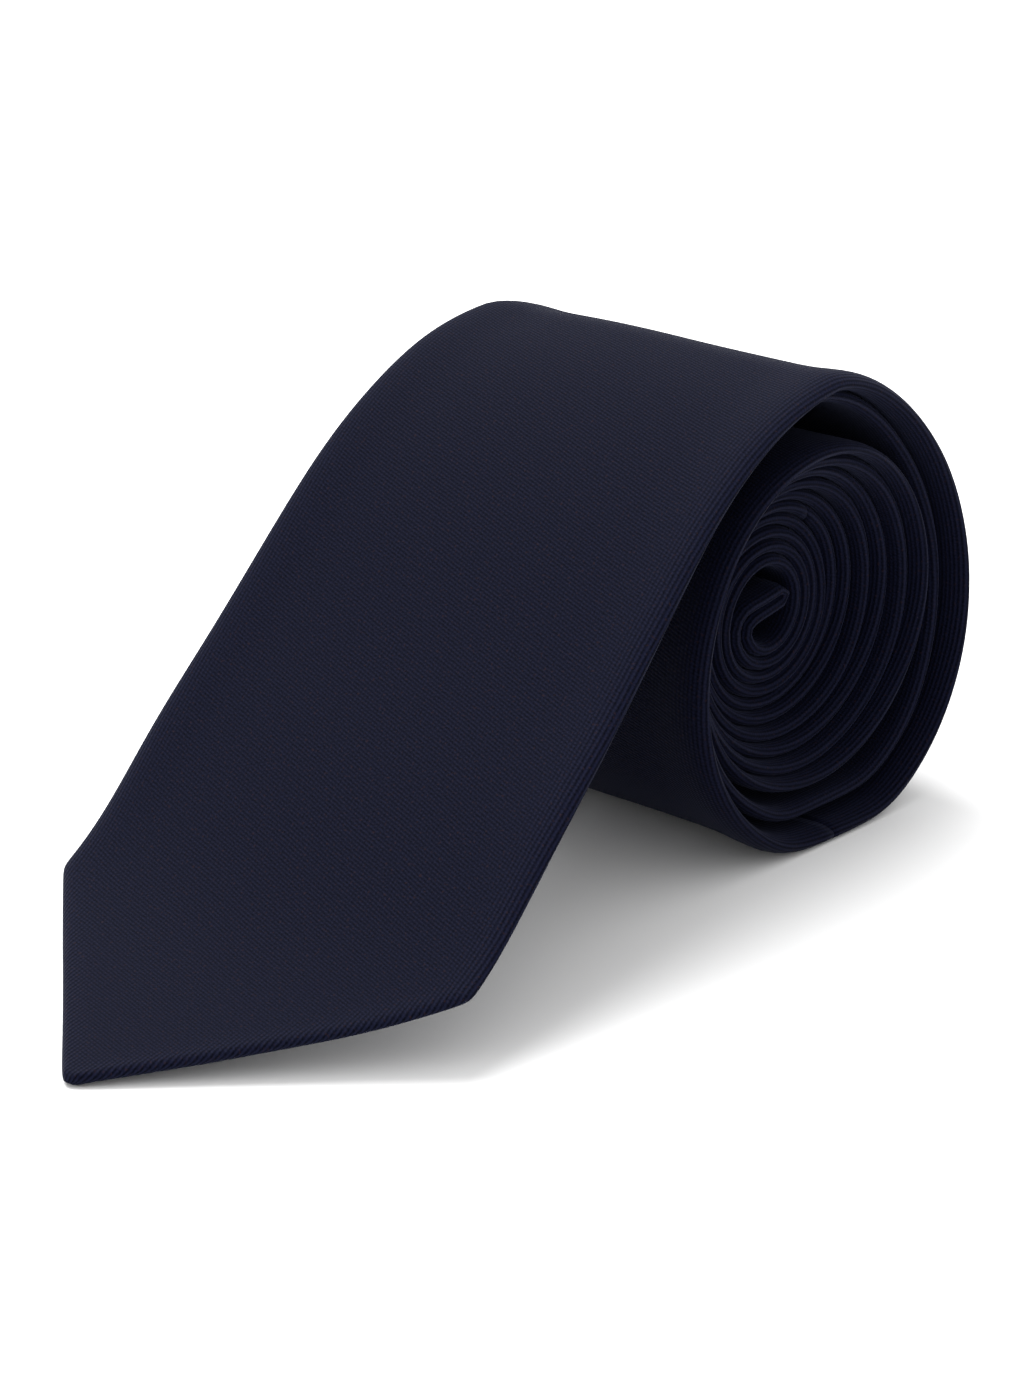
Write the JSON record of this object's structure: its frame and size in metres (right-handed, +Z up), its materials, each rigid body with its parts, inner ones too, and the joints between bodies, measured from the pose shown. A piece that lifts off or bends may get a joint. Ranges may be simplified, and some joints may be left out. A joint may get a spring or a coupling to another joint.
{
  "type": "necktie",
  "caption": "Plain twill necktie folded at the neck and rolled up, its broad pointed end sloping down to the table.",
  "frame": {"origin": "centre of the footprint on the floor it rests on", "axes": "+X along the axis of the roll, the broad end slopes down toward -Y, +Z up"},
  "size_m": [0.082, 0.161, 0.0696],
  "materials": {
    "navy_twill": "fine worsted-look silk twill cut on the bias, soft sheen",
    "navy_lining": "smooth lining",
    "wool_interlining": "brushed wool blend",
    "navy_thread": "sewing thread",
    "navy_label": "woven satin label, blank",
    "white_label": "printed tape label, blank"
  },
  "bodies": {
    "roll": {"blade_roll_shell": "navy_twill", "neck_shell": "navy_twill", "tail_shell": "navy_twill", "roll_interlining": "wool_interlining", "tail_tipping": "navy_lining", "roll_slip_stitch": "navy_thread", "tail_bar_tack": "navy_thread", "keeper_loop": "navy_twill", "makers_label": "navy_label", "care_label": "white_label", "keeper_tack_near": "navy_thread", "keeper_tack_far": "navy_thread", "label_tack_near": "navy_thread", "label_tack_far": "navy_thread", "care_label_tack": "navy_thread"},
    "apron": {"blade_apron_shell": "navy_twill", "apron_interlining": "wool_interlining", "blade_tipping": "navy_lining", "apron_slip_stitch": "navy_thread", "blade_bar_tack": "navy_thread"}
  },
  "joints": [
    {"name": "apron_lift", "type": "hinge", "parent": "roll", "child": "apron", "pos_m": [0, 0.04696, 0.06964], "axis": [-1, 0, 0], "range_deg": [0, 60]}
  ]
}
